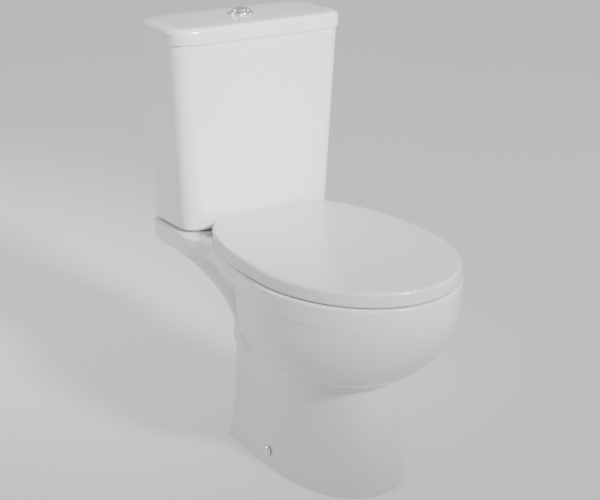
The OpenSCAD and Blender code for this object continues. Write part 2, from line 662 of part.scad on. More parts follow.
ring_inset = 9;
module seat_ring() {
    zt = ring_z + ring_t;
    color(plastic) difference() {
        loft([cover_ring(ring_inset + 3, ring_z), cover_ring(ring_inset, ring_z + 3),
            cover_ring(ring_inset, zt - 6), cover_ring(ring_inset + 2, zt - 2),
            cover_ring(ring_inset + 8, zt)]);
        loft([for (p = [[3, -1], [0, 3], [0, ring_t - 6], [-5, ring_t - 1], [-8, ring_t + 0.5]])
            plan(118 + 0 - p[0], y_front + 70 + p[0], hinge_y - 78 - p[0], y_wide - 8, 2.05, 2.1,
                ring_z + p[1], 56)]);
        translate([-200, hinge_y - 8, ring_z - 5]) cube([400, 80, 60]);
    }
    color(plastic) translate([0, hinge_y, hinge_z]) for (s = [-1, 1], k = [0, 1])
        translate([s * (hinge_spacing / 2 + (k == 0 ? 14.5 : -14.5)) - 2.5, 0, 0]) difference() {
            union() {
                rotate([0, 90, 0]) cylinder(r = 4.4, h = 5);
                translate([0, -24, -4.4]) cube([5, 24, 5]);
            }
            translate([-1, 0, 0]) rotate([0, 90, 0]) cylinder(r = hinge_pin_r + run_gap, h = 8);
        }
}

// Buffers of the ring on the rim, and of the cover on the ring
ring_buffer_spots = [[128, -200], [140, 20]];
module ring_buffers() {
    color(rubber) for (s = [-1, 1], p = ring_buffer_spots) translate([s * p[0], p[1], rim_h])
        cylinder(r = 7, h = ring_z - rim_h);
}
module cover_buffers() {
    color(rubber) for (s = [-1, 1], y = [-215, 0]) translate([s * 132, y, ring_z + ring_t])
        cylinder(r = 5, h = crease_z - cover_t - ring_z - ring_t);
}

post_w = 11;
post_t = 4.8;
module hinge_posts() {
    color(chrome) translate([0, hinge_y, 0]) pair(hinge_spacing / 2) difference() {
        union() {
            translate([0, 0, deck_z - 3.2]) cylinder(d = 30, h = 3);
            translate([-post_w / 2, -post_t / 2, deck_z - 1])
                cube([post_w, post_t, hinge_z - deck_z + 1]);
            translate([-post_w / 2, 0, hinge_z]) rotate([0, 90, 0])
                cylinder(r = hinge_pin_r + 1.4, h = post_w);
        }
        translate([-30, 0, hinge_z]) rotate([0, 90, 0]) cylinder(r = hinge_pin_r + run_gap, h = 60);
        translate([0, 0, deck_z - 4]) cylinder(d = 8, h = 3.8);
    }
}

module hinge_pins() {
    color(steel) translate([0, hinge_y, hinge_z]) pair(hinge_spacing / 2)
        rotate([0, 90, 0]) translate([0, 0, -18]) cylinder(r = hinge_pin_r, h = 36);
}

module hinge_studs() {
    color(steel) translate([0, hinge_y, deck_z - 62]) pair(hinge_spacing / 2)
        cylinder(d = 8, h = 61.8);
}

module hinge_washers() {
    color(rubber) translate([0, hinge_y, rim_h - 34 - 3]) pair(hinge_spacing / 2)
        ring_shape(13, 4, 3);
}

module hinge_wing_nuts() {
    color(nylon) translate([0, hinge_y, rim_h - 34 - 3]) pair(hinge_spacing / 2) wing_nut(8);
}

pan();
floor_brackets();
bracket_screws();
side_screws();
side_screw_caps();
cistern();
coupling_gasket();
coupling_bolts();
coupling_rubber_washers();
coupling_steel_washers();
coupling_wing_nuts();
flush_valve_body();
flush_valve_washer();
flush_valve_backnut();
flush_core();
flush_seal();
fill_valve_body();
fill_valve_washer();
fill_valve_backnut();
float_arm();
float_cup();
cistern_lid();
button_collar();
collar_locknut();
full_flush_button();
half_flush_button();
full_push_rod();
half_push_rod();
full_button_spring();
half_button_spring();
seat_ring();
ring_buffers();
seat_cover();
cover_buffers();
hinge_posts();
hinge_pins();
hinge_studs();
hinge_washers();
hinge_wing_nuts();
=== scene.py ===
"""Close coupled toilet in glazed china, with a wrap-over seat and chrome fittings.

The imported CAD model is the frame: it says where everything is and what moves. This
file gives the visible pieces their finished shapes and every piece its material.
It is laid out as an add-on and run as a script. Lengths are metres, the front of
the pan looks along -Y, and the floor is at z = 0.
"""

import json
import math

import bmesh
import bpy
from bpy.props import FloatProperty, FloatVectorProperty, IntProperty, PointerProperty
from mathutils import Matrix, Vector


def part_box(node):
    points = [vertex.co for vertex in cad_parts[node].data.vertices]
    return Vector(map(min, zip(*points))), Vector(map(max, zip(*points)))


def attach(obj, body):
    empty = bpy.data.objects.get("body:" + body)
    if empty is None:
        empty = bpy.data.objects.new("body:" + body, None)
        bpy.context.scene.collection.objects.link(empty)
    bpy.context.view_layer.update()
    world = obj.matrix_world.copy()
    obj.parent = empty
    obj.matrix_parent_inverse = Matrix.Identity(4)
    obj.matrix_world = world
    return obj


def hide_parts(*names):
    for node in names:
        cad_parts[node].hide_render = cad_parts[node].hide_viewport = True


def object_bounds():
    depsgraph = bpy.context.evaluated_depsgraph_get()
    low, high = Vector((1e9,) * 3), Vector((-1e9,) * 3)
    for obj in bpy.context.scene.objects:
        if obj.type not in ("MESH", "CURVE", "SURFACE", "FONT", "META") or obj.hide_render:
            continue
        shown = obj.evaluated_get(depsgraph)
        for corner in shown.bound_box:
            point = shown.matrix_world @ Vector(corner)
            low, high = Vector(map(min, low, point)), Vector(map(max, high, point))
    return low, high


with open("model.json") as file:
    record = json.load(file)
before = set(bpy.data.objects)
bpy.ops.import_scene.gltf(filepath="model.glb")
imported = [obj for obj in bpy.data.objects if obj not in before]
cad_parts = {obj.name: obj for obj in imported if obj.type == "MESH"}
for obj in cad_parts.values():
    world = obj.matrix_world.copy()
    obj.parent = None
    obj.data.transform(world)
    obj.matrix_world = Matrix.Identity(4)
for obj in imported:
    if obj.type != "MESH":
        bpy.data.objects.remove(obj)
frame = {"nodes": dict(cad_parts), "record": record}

bl_info = {
    "name": "Close Coupled Toilet",
    "version": (1, 0, 0),
    "blender": (4, 5, 0),
    "location": "View3D > Sidebar > Toilet",
    "description": "Builds a china toilet, its seat and fittings around a packed frame",
    "category": "Add Mesh",
}

CAD_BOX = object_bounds()
FRONT, WALL = CAD_BOX[0].y, CAD_BOX[1].y
RIM_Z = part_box("pan")[1].z
RIM_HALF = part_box("pan")[1].x
CISTERN_LOW, CISTERN_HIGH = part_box("cistern")
LID_LOW, LID_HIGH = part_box("cistern_lid")
COVER_LOW, COVER_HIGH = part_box("seat_cover")
RING_LOW, RING_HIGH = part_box("seat_ring")
COLLAR_LOW, COLLAR_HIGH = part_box("button_collar")
BUTTON_LOW, BUTTON_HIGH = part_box("full_flush_button")
PIN_LOW, PIN_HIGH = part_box("hinge_pins")
CAP_LOW, CAP_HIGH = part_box("side_screw_caps")
BOLT_HEAD_R = 0.009
SPIGOT_COLLAR = 0.016
SPIGOT_LENGTH = 0.052
VALVE_Y = (COLLAR_LOW.y + COLLAR_HIGH.y) / 2
HINGE_Y = (PIN_LOW.y + PIN_HIGH.y) / 2
HINGE_Z = (PIN_LOW.z + PIN_HIGH.z) / 2


def length(name, default, description, low=0.0, high=2.0):
    """A length property in metres."""
    return FloatProperty(name=name, default=default, description=description,
                         min=low, max=high, unit="LENGTH", precision=4)


def colour(name, default, description):
    """A colour property."""
    return FloatVectorProperty(name=name, default=default, description=description,
                               subtype="COLOR", size=3, min=0.0, max=1.0)


# ------------------------------------------------------------------ properties
class ToiletPan(bpy.types.PropertyGroup):
    """Sizes of the pan"""
    rim_width: length("Rim width", 0.044, "Width of the flat rim around the bowl")
    band: length("Band", 0.038, "Height of the band around rim and shelf")
    band_step: length("Band step", 0.0022, "How far the band stands proud behind the bowl")
    wall: length("Wall", 0.013, "Thickness of the china")
    foot_width: length("Foot width", 0.226, "Width of the foot on the floor")
    foot_depth: length("Foot depth", 0.356, "Depth of the foot on the floor")
    foot_lead: length("Foot lead", 0.103, "How far the foot stands back from the front")
    neck: length("Neck", 0.200, "Height of the neck between bowl and foot")
    widest: length("Widest", 0.230, "Distance of the widest line from the front")
    waist: length("Waist", 0.294, "Width between bowl and shelf")
    deck_drop: length("Deck drop", 0.007, "How far the hinge deck lies below the rim")
    outlet: length("Outlet", 0.102, "Outside diameter of the outlet spigot")
    outlet_height: length("Outlet height", 0.172, "Height of the outlet's centre")
    trap: length("Trap", 0.066, "Bore of the trap")


class ToiletCistern(bpy.types.PropertyGroup):
    """Sizes of the cistern and its lid"""
    base_width: length("Base width", 0.321, "Width of the cistern at its base")
    base_depth: length("Base depth", 0.1505, "Depth of the cistern at its base")
    wall: length("Wall", 0.009, "Thickness of the china")
    lip: length("Lip", 0.002, "Overhang of the lid past the cistern")


class ToiletSeat(bpy.types.PropertyGroup):
    """Sizes of the seat cover and ring"""
    shell: length("Shell", 0.003, "Thickness of the cover's shell")
    crown: length("Crown", 0.0025, "Rise of the cover above its edge")
    edge: length("Edge", 0.006, "Radius of the cover's rolled edge")
    ring_inset: length("Ring inset", 0.009, "Gap from the cover's side to the ring's side")
    hinge_spacing: length("Hinge spacing", 0.155, "Distance between the two hinges")


class ToiletLooks(bpy.types.PropertyGroup):
    """Colours and mesh fineness"""
    china: colour("China", (0.64, 0.64, 0.645), "Glazed china")
    clay: colour("Clay", (0.62, 0.57, 0.50), "Bare fired clay where there is no glaze")
    seat: colour("Seat", (0.60, 0.575, 0.582), "Moulded seat plastic")
    chrome: colour("Chrome", (0.78, 0.79, 0.81), "Polished chrome")
    floor: colour("Floor", (0.45, 0.45, 0.45), "Studio floor")
    around: IntProperty(name="Around", default=44, min=12, max=80,
                        description="Points on a quarter of a china outline")


# ------------------------------------------------------------------ shape maths
def ease(t):
    """Smooth step from 0 to 1."""
    t = min(max(t, 0.0), 1.0)
    return t * t * (3 - 2 * t)


def join_max(a, b, k):
    """The larger of two values, blended over a width k."""
    h = max(k - abs(a - b), 0.0) / k
    return max(a, b) + h * h * k / 4


def power(c, e):
    """A signed power, for superellipses."""
    return math.copysign(abs(c) ** e, c)


def station(rows, z, column):
    """Smooth value of one column of a list of stations at height z."""
    z = min(max(z, rows[0][0]), rows[-1][0])
    i = max(k for k in range(len(rows) - 1) if rows[k][0] <= z)

    def slope(k):
        low, high = max(k - 1, 0), min(k + 1, len(rows) - 1)
        return (rows[high][column] - rows[low][column]) / (rows[high][0] - rows[low][0])

    d = rows[i + 1][0] - rows[i][0]
    t = (z - rows[i][0]) / d
    return ((2 * t ** 3 - 3 * t * t + 1) * rows[i][column] + (t ** 3 - 2 * t * t + t) * slope(i) * d
            + (3 * t * t - 2 * t ** 3) * rows[i + 1][column] + (t ** 3 - t * t) * slope(i + 1) * d)


def plan(half, front, back, middle, round_front, round_back, z, count):
    """Closed superellipse outline with its own fullness in front and behind."""
    points = []
    for i in range(count):
        c, s = math.cos(2 * math.pi * i / count), math.sin(2 * math.pi * i / count)
        e = 2 / (round_front if s < 0 else round_back)
        reach = middle - front if s < 0 else back - middle
        points.append(Vector((half * power(c, e), middle + reach * power(s, e), z)))
    return points


def radial(angles, half, front, back, middle, round_front, round_back, z):
    """The same outline, with its points at given angles about its middle."""
    points = []
    for a in angles:
        c, s = math.cos(a), math.sin(a)
        n = round_front if s < 0 else round_back
        reach = middle - front if s < 0 else back - middle
        r = ((abs(c) / half) ** n + (abs(s) / reach) ** n) ** (-1 / n)
        points.append(Vector((r * c, middle + r * s, z)))
    return points


class PanShape:
    """The outside of the pan: a bowl, a foot and a horn that carries the shelf, blended."""

    def __init__(self, pan, cistern, around):
        self.pan, self.around = pan, around
        self.band_z = RIM_Z - pan.band
        self.wide_y = FRONT + pan.widest
        self.foot_y = FRONT + pan.foot_lead
        foot_back = self.foot_y + pan.foot_depth
        foot, shelf = pan.foot_width / 2, (cistern.base_width + 0.009) / 2
        waist = pan.waist / 2
        # height, half width, rear edge, pocket depth, flare start and end, corner, blend
        self.rear = [
            (0.000, foot, foot_back, 0.0, 0.060, 0.100, 0.016, 0.020),
            (0.040, foot - 0.005, foot_back - 0.008, 0.0, 0.060, 0.100, 0.018, 0.020),
            (0.100, foot - 0.009, foot_back - 0.014, 0.0, 0.060, 0.100, 0.020, 0.020),
            (0.165, foot - 0.010, foot_back - 0.016, 0.002, 0.050, 0.090, 0.022, 0.022),
            (0.205, foot - 0.012, foot_back - 0.005, 0.008, 0.050, 0.095, 0.024, 0.026),
            (0.235, foot - 0.017, foot_back + 0.014, 0.014, 0.060, 0.140, 0.026, 0.024),
            (0.270, foot - 0.017, WALL - 0.124, 0.024, 0.090, 0.185, 0.028, 0.020),
            (0.300, foot - 0.009, WALL - 0.070, 0.026, 0.130, 0.225, 0.030, 0.016),
            (0.330, foot + 0.015, WALL - 0.026, 0.046, 0.150, 0.270, 0.032, 0.014),
            (0.350, shelf - 0.012, WALL - 0.004, 0.062, 0.160, 0.280, 0.034, 0.012),
            (self.band_z - 0.003, shelf - 0.006, WALL - 0.001, 0.060, 0.160, 0.280, 0.035, 0.014),
            (self.band_z + 0.002, shelf - 0.002, WALL, shelf - waist, 0.115, 0.195, 0.035, 0.028),
            (RIM_Z, shelf, WALL, shelf - waist + 0.001, 0.115, 0.195, 0.035, 0.028)]
        self.foot_front = [(0.0, 0.0), (0.020, 0.002), (0.060, 0.007), (0.120, 0.013),
                           (0.180, 0.019), (0.215, 0.021)]
        # height, half length of the egg's rear, and how square that rear is
        self.egg = [(0.0, 0.400, 2.0), (0.150, 0.400, 2.0), (0.190, 0.300, 2.0),
                    (0.215, 0.180, 2.2), (0.235, 0.138, 2.7), (0.260, 0.128, 3.2),
                    (0.300, 0.124, 3.8), (0.330, 0.124, 4.0),
                    (self.band_z - 0.004, 0.125, 4.0), (self.band_z - 0.003, 0.126, 4.0),
                    (self.band_z, 0.300, 2.0), (RIM_Z, 0.306, 2.0)]

    def bowl(self, z):
        """Half width and front of the bowl at height z."""
        low = self.pan.neck - 0.014
        u = min(max((self.band_z - z) / (self.band_z - low), 0.0), 1.0)
        half = RIM_HALF * math.sqrt(1 - u ** 3)
        reach = (self.wide_y - FRONT) * (1 - u ** 1.8) ** (1 / 2.2)
        return half, self.wide_y - reach

    def foot(self, z):
        """Half width and front of the foot at height z, drawn in above the neck."""
        neck = self.pan.neck
        fade = 0.060 * math.sqrt(min(max((z - neck - 0.015) / 0.060, 0.0), 1.0))
        taper = self.rear[0][1] - station(self.rear, min(z, neck), 1)
        front = self.foot_y + station(self.foot_front, z, 1)
        return self.pan.foot_width / 2 - taper - fade, front + fade

    def outline(self, z, inset=0.0):
        """Closed outline of the pan at height z, set in by a wall or an edge radius."""
        neck = self.pan.neck
        bowl_half, bowl_front = self.bowl(z)
        foot_half, foot_front = self.foot(z)
        half = join_max(bowl_half, foot_half, 0.024) - inset
        front = -join_max(-bowl_front, -foot_front, 0.024) + inset
        e = 2 / (2.3 - 0.25 * ease((z - neck + 0.015) / 0.030))
        middle = -0.020 + (self.wide_y + 0.020) * ease((z - 0.150) / 0.080)
        tail, back, pocket, start, end, corner, blend = (
            station(self.rear, z, k) for k in range(1, 8))
        tail, back = tail - inset, min(back, WALL) - inset
        egg, square = station(self.egg, z, 1), station(self.egg, z, 2)
        step = self.pan.band_step * ease((self.band_z - z) / 0.005)

        def side(y):
            swell = half * max(0.0, 1 - (max(y - middle, 0.0) / egg) ** square) ** (1 / square)
            neck_in = tail - pocket * (1 - ease((y - start) / (end - start)))
            return join_max(swell, neck_in, blend) - step * ease((y + 0.16) / 0.12)

        turn, rear_half = back - corner, side(back - corner)
        right = []
        for i in range(self.around):
            a = math.pi / 2 * (i / (self.around - 1) - 1)
            right.append((side(middle) * power(math.cos(a), e),
                          middle - (middle - front) * power(-math.sin(a), e)))
        for i in range(1, self.around + 1):
            y = middle + (turn - middle) * i / self.around
            right.append((side(y), y))
        for i in range(1, 9):
            a = math.pi / 2 * i / 8
            right.append((rear_half - corner + corner * math.cos(a), turn + corner * math.sin(a)))
        for i in range(1, 9):
            right.append(((rear_half - corner) * (1 - i / 8), back))
        left = [(-x, y) for x, y in reversed(right[1:-1])]
        return [Vector((x, y, z)) for x, y in right + left]


def middle_of(node):
    """Where the middle of a CAD node lies, seen from above."""
    low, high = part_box(node)
    return (low.x + high.x) / 2, (low.y + high.y) / 2


def bolt_place():
    """Distance of the coupling bolts from the middle, and how far back they stand."""
    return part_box("coupling_bolts")[1].x - BOLT_HEAD_R, middle_of("coupling_bolts")[1]


def cistern_outline(cistern, t, z, inset, count):
    """Outline of the tapered cistern, t from its base to its top."""
    half = (cistern.base_width / 2) * (1 - t) + CISTERN_HIGH.x * t - inset
    depth = cistern.base_depth * (1 - t) + (WALL - CISTERN_LOW.y) * t
    return plan(half, WALL - depth + inset, WALL - inset, WALL - depth / 2, 5.5, 7.0, z, count)


def lid_outline(inset, z, count):
    """Outline of the cistern lid."""
    middle = (LID_LOW.y + WALL) / 2
    return plan(LID_HIGH.x - inset, LID_LOW.y + inset, WALL - inset, middle, 5.9, 5.4, z, count)


def cover_outline(inset, z, count):
    """Outline of the seat cover: an egg in front, bowed across its back."""
    half, middle = COVER_HIGH.x - inset, FRONT + 0.226
    front, back = COVER_LOW.y + inset, COVER_HIGH.y - inset
    points = []
    for i in range(count):
        c, s = math.cos(2 * math.pi * i / count), math.sin(2 * math.pi * i / count)
        e = 2 / (2.02 if s < 0 else 2.5)
        x = half * power(c, e)
        y = middle + (middle - front if s < 0 else back + 0.034 - middle) * power(s, e)
        if s >= 0:
            y = -join_max(-y, (abs(x) / 0.122) ** 3 * 0.016 - back, 0.012)
        points.append(Vector((x, y, z)))
    return points


# ------------------------------------------------------------------ mesh tools
def skin(loops):
    """A closed skin over loops of equal length: a grid laid on them and welded."""
    around, along = len(loops[0]), len(loops) - 1
    bm = bmesh.new()
    bmesh.ops.create_grid(bm, x_segments=around, y_segments=along, size=1.0)
    for v in bm.verts:
        i, j = round((v.co.x + 1) / 2 * around), round((v.co.y + 1) / 2 * along)
        v.co = loops[j][i % around]
    bmesh.ops.remove_doubles(bm, verts=bm.verts, dist=1e-6)
    bmesh.ops.recalc_face_normals(bm, faces=bm.faces)
    return bm


def pole(loop, z=None):
    """A loop drawn together to the middle of another, which closes a skin."""
    middle = sum(loop, Vector()) / len(loop)
    if z is not None:
        middle.z = z
    return [middle.copy() for _ in loop]


def lathe(profile, steps=64, closed=False):
    """A profile of (radius, height) points spun about Z."""
    bm = bmesh.new()
    verts = [bm.verts.new((r, 0.0, z)) for r, z in profile]
    edges = [bm.edges.new(pair) for pair in zip(verts, verts[1:])]
    if closed:
        edges.append(bm.edges.new((verts[-1], verts[0])))
    bmesh.ops.spin(bm, geom=verts + edges, cent=(0, 0, 0), axis=(0, 0, 1), dvec=(0, 0, 0),
                   angle=2 * math.pi, steps=steps, use_merge=True, use_duplicate=False)
    bmesh.ops.remove_doubles(bm, verts=bm.verts, dist=1e-6)
    bmesh.ops.recalc_face_normals(bm, faces=bm.faces)
    return bm


def arc(cx, cz, radius, start, end, steps=6):
    """Points of an arc in a profile, in degrees."""
    turn = [math.radians(start + (end - start) * i / steps) for i in range(steps + 1)]
    return [(cx + radius * math.cos(a), cz + radius * math.sin(a)) for a in turn]


def rounded_box(low, high, radius, segments=3):
    """A box with all its edges rolled."""
    bm = bmesh.new()
    bmesh.ops.create_cube(bm, size=1.0)
    size, middle = Vector(high) - Vector(low), (Vector(high) + Vector(low)) / 2
    bmesh.ops.scale(bm, vec=size, verts=bm.verts)
    bmesh.ops.translate(bm, vec=middle, verts=bm.verts)
    bmesh.ops.bevel(bm, geom=bm.edges[:], offset=radius, affect="EDGES", segments=segments,
                    profile=0.5, material=-1)
    return bm


def rod(start, end, radius, steps=64):
    """A closed cylinder from one point to another."""
    start, end = Vector(start), Vector(end)
    bm = bmesh.new()
    turn = (end - start).to_track_quat("Z", "Y").to_matrix().to_4x4()
    bmesh.ops.create_cone(bm, cap_ends=True, segments=steps, radius1=radius, radius2=radius,
                          depth=(end - start).length,
                          matrix=Matrix.Translation((start + end) / 2) @ turn)
    return bm


def as_object(name, bm):
    """A scene object from a finished bmesh."""
    mesh = bpy.data.meshes.new(name)
    bm.to_mesh(mesh)
    bm.free()
    obj = bpy.data.objects.new(name, mesh)
    bpy.context.scene.collection.objects.link(obj)
    return obj


def carve(obj, bm, operation="DIFFERENCE"):
    """Cuts a closed bmesh out of an object, or joins it on."""
    tool = as_object("tool", bm)
    cut = obj.modifiers.new("cut", "BOOLEAN")
    cut.object, cut.operation, cut.solver = tool, operation, "EXACT"
    graph = bpy.context.evaluated_depsgraph_get()
    mesh = bpy.data.meshes.new_from_object(obj.evaluated_get(graph))
    obj.modifiers.clear()
    obj.data = mesh
    bpy.data.objects.remove(tool)


def eye(obj, x, half, radius, block):
    """Joins a hinge eye and the block that carries it to a piece, and bores it for the pin."""
    carve(obj, block, "UNION")
    ends = (x - half, HINGE_Y, HINGE_Z), (x + half, HINGE_Y, HINGE_Z)
    carve(obj, rod(*ends, radius, 48), "UNION")
    carve(obj, rod((x - half - 0.001, HINGE_Y, HINGE_Z), (x + half + 0.001, HINGE_Y, HINGE_Z),
                   0.00205, 30))


def smooth(obj, angle=32.0):
    """Closes what the cuts left open, and shades smoothly with sharp edges kept crisp."""
    bm = bmesh.new()
    bm.from_mesh(obj.data)
    bmesh.ops.dissolve_degenerate(bm, dist=1e-6, edges=bm.edges)
    loose = [e for e in bm.edges if not e.link_faces]
    bmesh.ops.delete(bm, geom=loose, context="EDGES")
    bmesh.ops.holes_fill(bm, edges=[e for e in bm.edges if e.is_boundary], sides=0)
    for f in bm.faces:
        f.smooth = True
    for e in bm.edges:
        e.smooth = len(e.link_faces) == 2 and e.calc_face_angle(0.0) < math.radians(angle)
    bm.to_mesh(obj.data)
    bm.free()


def dress(obj, material, body, slot, *nodes):
    """Gives a finished piece its material, the body it rides on and the nodes it stands for."""
    obj.data.materials.clear()
    obj.data.materials.append(material)
    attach(obj, body)
    if nodes:
        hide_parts(*nodes)
    return obj


# ------------------------------------------------------------------ materials
class Wire:
    """A shader value that takes part in ordinary sums."""

    def __init__(self, paint, socket):
        self.paint, self.socket = paint, socket

    def __add__(self, other):
        return self.paint.sum("ADD", self, other)

    __radd__ = __add__

    def __mul__(self, other):
        return self.paint.sum("MULTIPLY", self, other)

    __rmul__ = __mul__

    def __sub__(self, other):
        return self.paint.sum("SUBTRACT", self, other)

    def __rsub__(self, other):
        return self.paint.sum("SUBTRACT", other, self)

    def __pow__(self, other):
        return self.paint.sum("POWER", self, other)


class Paint:
    """One node material under construction."""

    def __init__(self, name, **constants):
        self.material = bpy.data.materials.new(name)
        self.material.use_nodes = True
        self.tree = self.material.node_tree
        self.shader = self.tree.nodes["Principled BSDF"]
        self.where = self.node("ShaderNodeTexCoord").outputs["Object"]
        self.set(**constants)

    def node(self, kind, settings=None, **sockets):
        """Adds a node, sets what it is first, and then fills its sockets."""
        made = self.tree.nodes.new(kind)
        for key, value in (settings or {}).items():
            setattr(made, key, value)
        for key, value in sockets.items():
            self.fill(made.inputs[key.replace("_", " ")], value)
        return made

    def fill(self, socket, value):
        """Links a wire or a socket, or sets a plain value."""
        if isinstance(value, Wire):
            value = value.socket
        if isinstance(value, bpy.types.NodeSocket):
            self.tree.links.new(value, socket)
        elif socket.type == "RGBA" and len(value) == 3:
            socket.default_value = (*value, 1.0)
        else:
            socket.default_value = value

    def sum(self, operation, a, b):
        """One step of arithmetic on values."""
        made = self.node("ShaderNodeMath", {"operation": operation})
        self.fill(made.inputs[0], a)
        self.fill(made.inputs[1], b)
        return Wire(self, made.outputs[0])

    def set(self, **sockets):
        """Fills sockets of the surface shader."""
        for key, value in sockets.items():
            self.fill(self.shader.inputs[key.replace("_", " ")], value)

    def noise(self, scale, detail=2.0, stretch=(1, 1, 1)):
        """A cloudy value from 0 to 1, in metres of the object."""
        at = self.node("ShaderNodeMapping", Vector=self.where, Scale=stretch).outputs[0]
        return Wire(self, self.node("ShaderNodeTexNoise", Vector=at, Scale=scale,
                                    Detail=detail).outputs["Fac"])

    def height(self):
        """How high a point stands, in metres."""
        return Wire(self, self.node("ShaderNodeSeparateXYZ", Vector=self.where).outputs["Z"])

    def ramp(self, value, low, high):
        """A mask that runs from 0 to 1 as the value goes from low to high."""
        made = self.node("ShaderNodeMapRange", {"interpolation_type": "SMOOTHSTEP"},
                         Value=value, From_Min=low, From_Max=high)
        return Wire(self, made.outputs[0])

    def mix(self, mask, a, b):
        """One colour passing into another."""
        made = self.node("ShaderNodeMix", {"data_type": "RGBA"})
        self.fill(made.inputs["Factor"], mask)
        self.fill(made.inputs[6], a)
        self.fill(made.inputs[7], b)
        return made.outputs[2]

    def bump(self, height, strength, distance):
        """Relief on the surface."""
        made = self.node("ShaderNodeBump", Height=height, Strength=strength, Distance=distance)
        self.set(Normal=made.outputs["Normal"])


def shade(colour_value, factor):
    """A colour made darker or lighter."""
    return tuple(min(1.0, c * factor) for c in colour_value)


def glazed_china(name, looks, bare_below=None):
    """White glaze with the faint waviness of a fired surface, bare clay under the foot."""
    paint = Paint(name, Coat_Roughness=0.03, Coat_IOR=1.5, Specular_IOR_Level=0.5)
    cloud = paint.noise(9.0, 3.0)
    tint = paint.mix(cloud, shade(looks.china, 0.985), looks.china)
    rough = 0.10 + 0.05 * paint.noise(35.0, 2.0)
    coat = 0.55
    if bare_below is not None:
        glaze = paint.ramp(paint.height() + 0.0012 * paint.noise(160.0), bare_below,
                           bare_below + 0.0008)
        clay = paint.mix(paint.noise(420.0, 4.0), shade(looks.clay, 0.86), looks.clay)
        tint = paint.mix(glaze, clay, tint)
        rough = rough * glaze + 0.75 * (1 - glaze)
        coat = 0.55 * glaze
    paint.set(Base_Color=tint, Roughness=rough, Coat_Weight=coat)
    ripple = 0.75 * paint.noise(26.0, 2.0) + 0.25 * paint.noise(240.0, 2.0)
    paint.bump(ripple, 0.06, 0.0015)
    return paint.material


def seat_plastic(name, looks):
    """Moulded thermoset: smooth, a little softer in its shine than the china."""
    paint = Paint(name, Coat_Weight=0.25, Coat_Roughness=0.12, Specular_IOR_Level=0.5)
    paint.set(Base_Color=paint.mix(paint.noise(5.0), shade(looks.seat, 0.99), looks.seat),
              Roughness=0.27 + 0.03 * paint.noise(6.0))
    paint.bump(paint.noise(700.0), 0.02, 0.0001)
    return paint.material


def chromed(name, looks):
    """Bright plating with faint smears and hairlines."""
    paint = Paint(name, Metallic=1.0)
    smear = paint.noise(90.0, 3.0)
    paint.set(Base_Color=paint.mix(smear, shade(looks.chrome, 0.94), looks.chrome),
              Roughness=0.06 + 0.10 * smear ** 2.0)
    paint.bump(paint.noise(1400.0), 0.03, 0.0002)
    return paint.material


def zinc_steel(name):
    """Zinc plate: grey, cloudy and slightly rough."""
    paint = Paint(name, Metallic=1.0)
    spangle = paint.noise(300.0, 4.0)
    paint.set(Base_Color=paint.mix(spangle, (0.46, 0.47, 0.49), (0.66, 0.67, 0.69)),
              Roughness=0.26 + 0.2 * spangle)
    paint.bump(paint.noise(1800.0), 0.12, 0.0002)
    return paint.material


def yellow_brass(name):
    """Cast brass with dull patches."""
    paint = Paint(name, Metallic=1.0)
    dull = paint.noise(180.0, 4.0)
    paint.set(Base_Color=paint.mix(dull, (0.50, 0.36, 0.14), (0.74, 0.58, 0.27)),
              Roughness=0.24 + 0.22 * dull)
    paint.bump(paint.noise(900.0), 0.15, 0.0002)
    return paint.material


def black_rubber(name, low, high):
    """Moulded rubber with a dusty bloom."""
    paint = Paint(name, Specular_IOR_Level=0.35)
    bloom = paint.noise(120.0, 4.0)
    paint.set(Base_Color=paint.mix(bloom, low, high), Roughness=0.62 + 0.2 * bloom)
    paint.bump(paint.noise(1200.0), 0.2, 0.0003)
    return paint.material


def moulded_plastic(name, low, high):
    """Plain moulded fittings, with a fine spark-eroded grain."""
    paint = Paint(name)
    flow = paint.noise(40.0, 3.0, (1, 1, 0.3))
    paint.set(Base_Color=paint.mix(flow, low, high), Roughness=0.38 + 0.12 * flow)
    paint.bump(paint.noise(1600.0), 0.12, 0.0002)
    return paint.material


def studio_floor(name, looks):
    """Pale seamless paper, with a faint even glow that keeps pools of light soft."""
    paint = Paint(name, Roughness=0.9, Specular_IOR_Level=0.1, Emission_Color=(1, 1, 1),
                  Emission_Strength=0.42)
    paint.set(Base_Color=paint.mix(paint.noise(3.0), shade(looks.floor, 0.995), looks.floor))
    return paint.material


def settings():
    """The scene's property groups."""
    scene = bpy.context.scene
    return scene.toilet_pan, scene.toilet_cistern, scene.toilet_seat, scene.toilet_looks


# ------------------------------------------------------------------ operators
class ToiletPiece:
    """What every operator here shares."""
    bl_options = {"REGISTER", "UNDO"}

    def execute(self, context):
        """Builds the pieces."""
        self.build(*settings())
        return {"FINISHED"}


